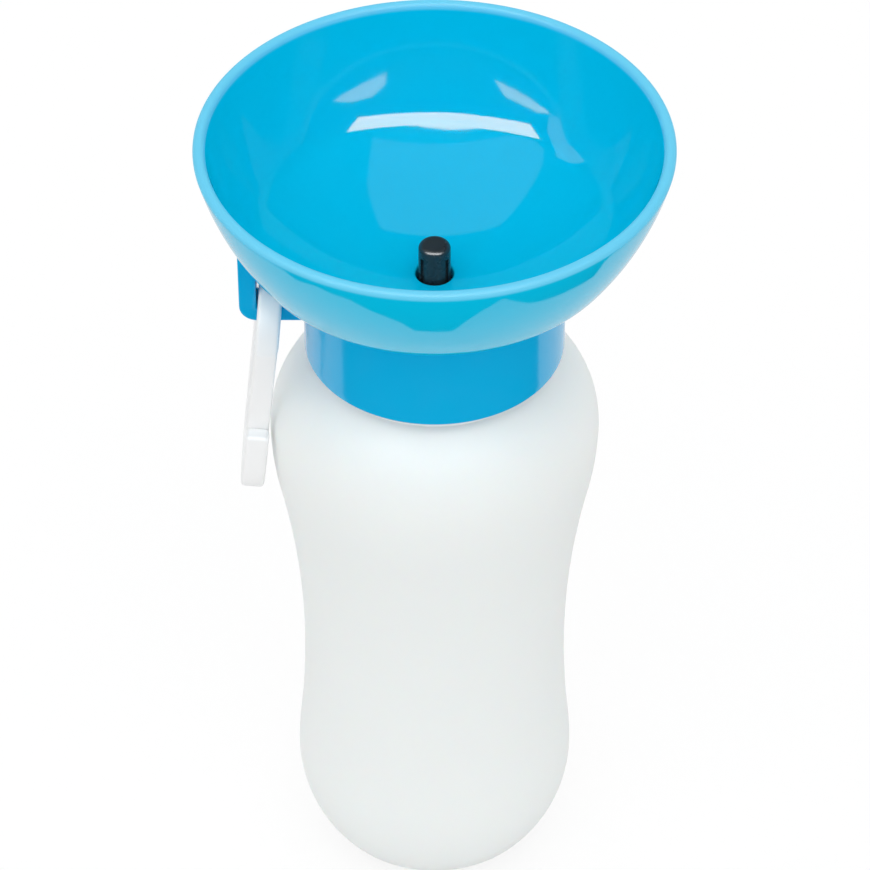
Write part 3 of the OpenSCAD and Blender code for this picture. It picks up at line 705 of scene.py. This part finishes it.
def knuckle_shell():
    """Short round bar across the hook's plane, in the seat in the frame's end."""
    half = GATE_W / 2
    section = rounded([(0, -half, 0), (GATE_R, -half, GATE_EDGE), (GATE_R, half, GATE_EDGE), (0, half, 0)], 6)
    points, faces = lathe(section, 64)
    return hang([(z, GATE_Y + x, y) for x, y, z in points]), faces


def tongue_shell():
    """Tongue and tip. The tongue starts flush with the frame's face and slants in behind the nose."""
    lever = GATE_R - GATE_T / 2
    tip_y = -BEND_IN + 0.08 + GATE_T / 2
    length = -NOSE_Z / cosd(GATE_SLANT)

    def on_tongue(s):
        return (GATE_Y - lever * cosd(GATE_SLANT) + s * sind(GATE_SLANT),
                -lever * sind(GATE_SLANT) - s * cosd(GATE_SLANT))

    stations = [(*on_tongue(length * i / 10), GATE_SLANT, 0) for i in range(10)]
    for i in range(1, 5):
        share = i / 5
        y, z = on_tongue(length * (0.9 + 0.1 * share))
        stations.append((y + (tip_y - y) * share ** 2, z, GATE_SLANT * (1 - share), 0))
    stations += [(tip_y, NOSE_Z - 0.4, 0, 0), (tip_y, NOSE_Z - 1.5, 0, 0)]
    stations += [(tip_y, NOSE_Z - TUCK + d, 0, inset) for d, inset in rounded_end(GATE_EDGE)[::-1]]
    rings = [strip_ring(GATE_W, GATE_T, GATE_EDGE, y, z, 180 + a, inset) for y, z, a, inset in stations]
    points, faces = closed_loft(rings)
    return hang(points), faces


add_piece("hook_ring", [frame_shell()], HOOK_WHITE, "hook", "hook_frame", sharp=40)
add_piece("hook_gate_arm", [knuckle_shell(), tongue_shell()],
          HOOK_WHITE, "gate", "hook_gate", sharp=40)

# ---------------------------------------------------------------- stage, in metres
FLOOR_HALF = 7.0
FLOOR_Z, DARK_Z = -0.0002, 0.0002
WHITE_SHARE = 0.8       # how much of the floor's white the camera sees without a shadow
TABLE_TONE = 0.8        # grey of the floor to all rays that don't come from the camera
SECOND_IMAGE = 0.12     # strength of a mirror image that comes by way of a second wall
WHITE = (1, 1, 1, 1)


def stage_mesh(name, corners, material):
    mesh = bpy.data.meshes.new(name)
    mesh.from_pydata(corners, [], [list(range(len(corners)))])
    mesh.materials.append(material)
    sheet = bpy.data.objects.new(name, mesh)
    bpy.context.scene.collection.objects.link(sheet)
    return sheet


def reflected_card(name, corners, radiance):
    """Studio card or softbox face that only shows as a reflection. A radiance of 1 is a white surface."""
    material = bpy.data.materials.new(name)
    nodes = Nodes(material)
    nodes.tree.nodes.remove(nodes.named("Principled BSDF"))
    bounces = nodes.add("ShaderNodeLightPath").outputs["Glossy Depth"]
    strength = nodes.ramp(bounces, radiance, radiance * SECOND_IMAGE, 1.0, 2.0)
    glow = nodes.add("ShaderNodeEmission", {"Strength": strength}, {"Color": WHITE})
    nodes.link(glow.outputs[0], nodes.named("Material Output").inputs["Surface"])
    card = stage_mesh(name, corners, material)
    card.visible_camera = card.visible_diffuse = card.visible_transmission = card.visible_shadow = False


def floor_white():
    """Floor that the camera sees as white with a weak shadow, and everything else as a pale floor."""
    material = bpy.data.materials.new("floor_white")
    nodes = Nodes(material)
    shader = nodes.named("Principled BSDF")
    pale = nodes.ramp(nodes.noise(nodes.coordinate("Object"), 40.0, 3.0, 0.5), 0.95, 0.97)
    by_camera = nodes.add("ShaderNodeLightPath").outputs["Is Camera Ray"]
    tone = nodes.add("ShaderNodeMix", {0: by_camera, 3: pale})
    tone.inputs[2].default_value = TABLE_TONE
    nodes.link(tone.outputs[0], shader.inputs["Base Color"])
    shader.inputs["Roughness"].default_value = 0.9
    shader.inputs["Specular IOR Level"].default_value = 0.1
    share = nodes.add("ShaderNodeMath", {0: by_camera}, {1: WHITE_SHARE}, operation="MULTIPLY")
    glow = nodes.add("ShaderNodeEmission", inputs={"Color": WHITE, "Strength": 1.0})
    mix = nodes.add("ShaderNodeMixShader", {0: share.outputs[0], 1: shader.outputs[0], 2: glow.outputs[0]})
    nodes.link(mix.outputs[0], nodes.named("Material Output").inputs["Surface"])
    return material


def square(half, z):
    return [(-half, -half, z), (half, -half, z), (half, half, z), (-half, half, z)]


stage_mesh("floor", square(FLOOR_HALF, FLOOR_Z), floor_white())

# Edge of the pale table in front of the bottle, from its right end to its left end. Beyond it the studio is
# dark, which only mirror images show: the dark patches on the bowl's outer wall and on the collar.
TABLE_EDGE = [(3, 0.03), (0.15, 0.03), (0.135, -0.01), (0.105, -0.06), (0.087, -0.115), (0.053, -0.1),
              (0.033, -0.082), (0.018, -0.061), (-0.02, -0.061), (-0.036, -0.079), (-0.055, -0.085),
              (-0.1, -0.088), (-0.14, -0.06), (-0.155, -0.025), (-3, -0.025)]
DARK_END = [(-3, -3), (3, -3)]
reflected_card("dark_front", [(x, y, DARK_Z) for x, y in TABLE_EDGE + DARK_END], 0.02)

# What the bowl mirrors. The places were worked back from the highlights' shapes in the photograph.
SOFTBOX_EDGE = [(1.56, -1.52), (0.4, -1.15), (-0.8, -1.09), (-2.03, -1.26), (-1.11, -0.29), (-0.1, -0.28),
                (0.9, -0.44)]
CEILING_EDGE = [(0.42, -0.18), (0.42, 0.2), (0.32, 0.6), (-0.4, 0.6), (-0.75, 0.2), (-0.9, -0.18)]
reflected_card("softbox_top", [(x, y, 1.2) for x, y in SOFTBOX_EDGE], 14)
reflected_card("ceiling", [(x, y, 1.21) for x, y in CEILING_EDGE], 0.55)
reflected_card("card_right", [(1.62, -1.05, 0.7), (0.81, -1.76, 0.68), (0.86, -1.7, 0.82),
                              (1.08, -1.53, 0.9), (1.38, -1.3, 0.85)], 5)
reflected_card("card_left", [(-1.02, -1.64, 0.72), (-1.79, -0.75, 0.69), (-1.64, -0.97, 0.8),
                             (-1.21, -1.45, 0.86)], 6)
FAR_LEFT_EDGE = [(-0.81, 0.74), (-0.3, 0.5), (0.29, 0.5), (0.44, 1.8), (0.33, 2.2), (-0.53, 1.2)]
reflected_card("card_far_left", [(-1.85, y, z) for y, z in FAR_LEFT_EDGE], 1.4)


# ---------------------------------------------------------------- light and camera
def studio_world():
    """Even white light, a little brighter low down and weaker from the sides. Mirror images don't see it."""
    world = bpy.data.worlds.new("studio")
    bpy.context.scene.world = world
    nodes = Nodes(world)
    background = nodes.named("Background")
    split = nodes.add("ShaderNodeSeparateXYZ", {0: nodes.coordinate("Generated")})
    height = nodes.ramp(split.outputs["Z"], 1.2, 1.0)
    x = split.outputs["X"]
    sideways = nodes.add("ShaderNodeMath", {0: x, 1: x}, operation="MULTIPLY")
    sides = nodes.ramp(sideways.outputs[0], 1.02, 0.65)
    sky = nodes.add("ShaderNodeMath", {0: height, 1: sides}, operation="MULTIPLY")
    by_camera = nodes.add("ShaderNodeLightPath").outputs["Is Camera Ray"]
    strength = nodes.add("ShaderNodeMix", {0: by_camera, 2: sky.outputs[0]})
    strength.inputs[3].default_value = 1.0
    nodes.link(strength.outputs[0], background.inputs["Strength"])
    background.inputs["Color"].default_value = WHITE
    world.cycles_visibility.glossy = False


def soft_lamp(name, place, aim, width, depth, watts):
    data = bpy.data.lights.new(name, "AREA")
    data.shape = "RECTANGLE"
    data.size, data.size_y = width, depth
    data.energy = watts
    lamp = bpy.data.objects.new(name, data)
    bpy.context.scene.collection.objects.link(lamp)
    lamp.location = place
    lamp.rotation_euler = (Vector(aim) - Vector(place)).to_track_quat("-Z", "Y").to_euler()
    lamp.visible_glossy = False


def photo_camera(place, tilt, focal_px, side_px, shift_x):
    """Camera at the photograph's angle. The focal length is given in the pixels of the square picture."""
    data = bpy.data.cameras.new("camera")
    data.sensor_width = 36
    data.lens = focal_px / side_px * data.sensor_width
    data.shift_x = shift_x
    camera = bpy.data.objects.new("camera", data)
    camera.location = place
    camera.rotation_euler = (math.radians(tilt), 0, 0)
    bpy.context.scene.collection.objects.link(camera)
    bpy.context.scene.camera = camera


studio_world()
soft_lamp("fill_top", place=(-0.1, -0.5, 1.3), aim=(0, 0, 0.1), width=1.8, depth=1.2, watts=2.4)
photo_camera(place=(0, -0.70577, 0.76665), tilt=47.868, focal_px=4000, side_px=870, shift_x=0.0005)
bpy.context.scene.view_settings.view_transform = "Standard"
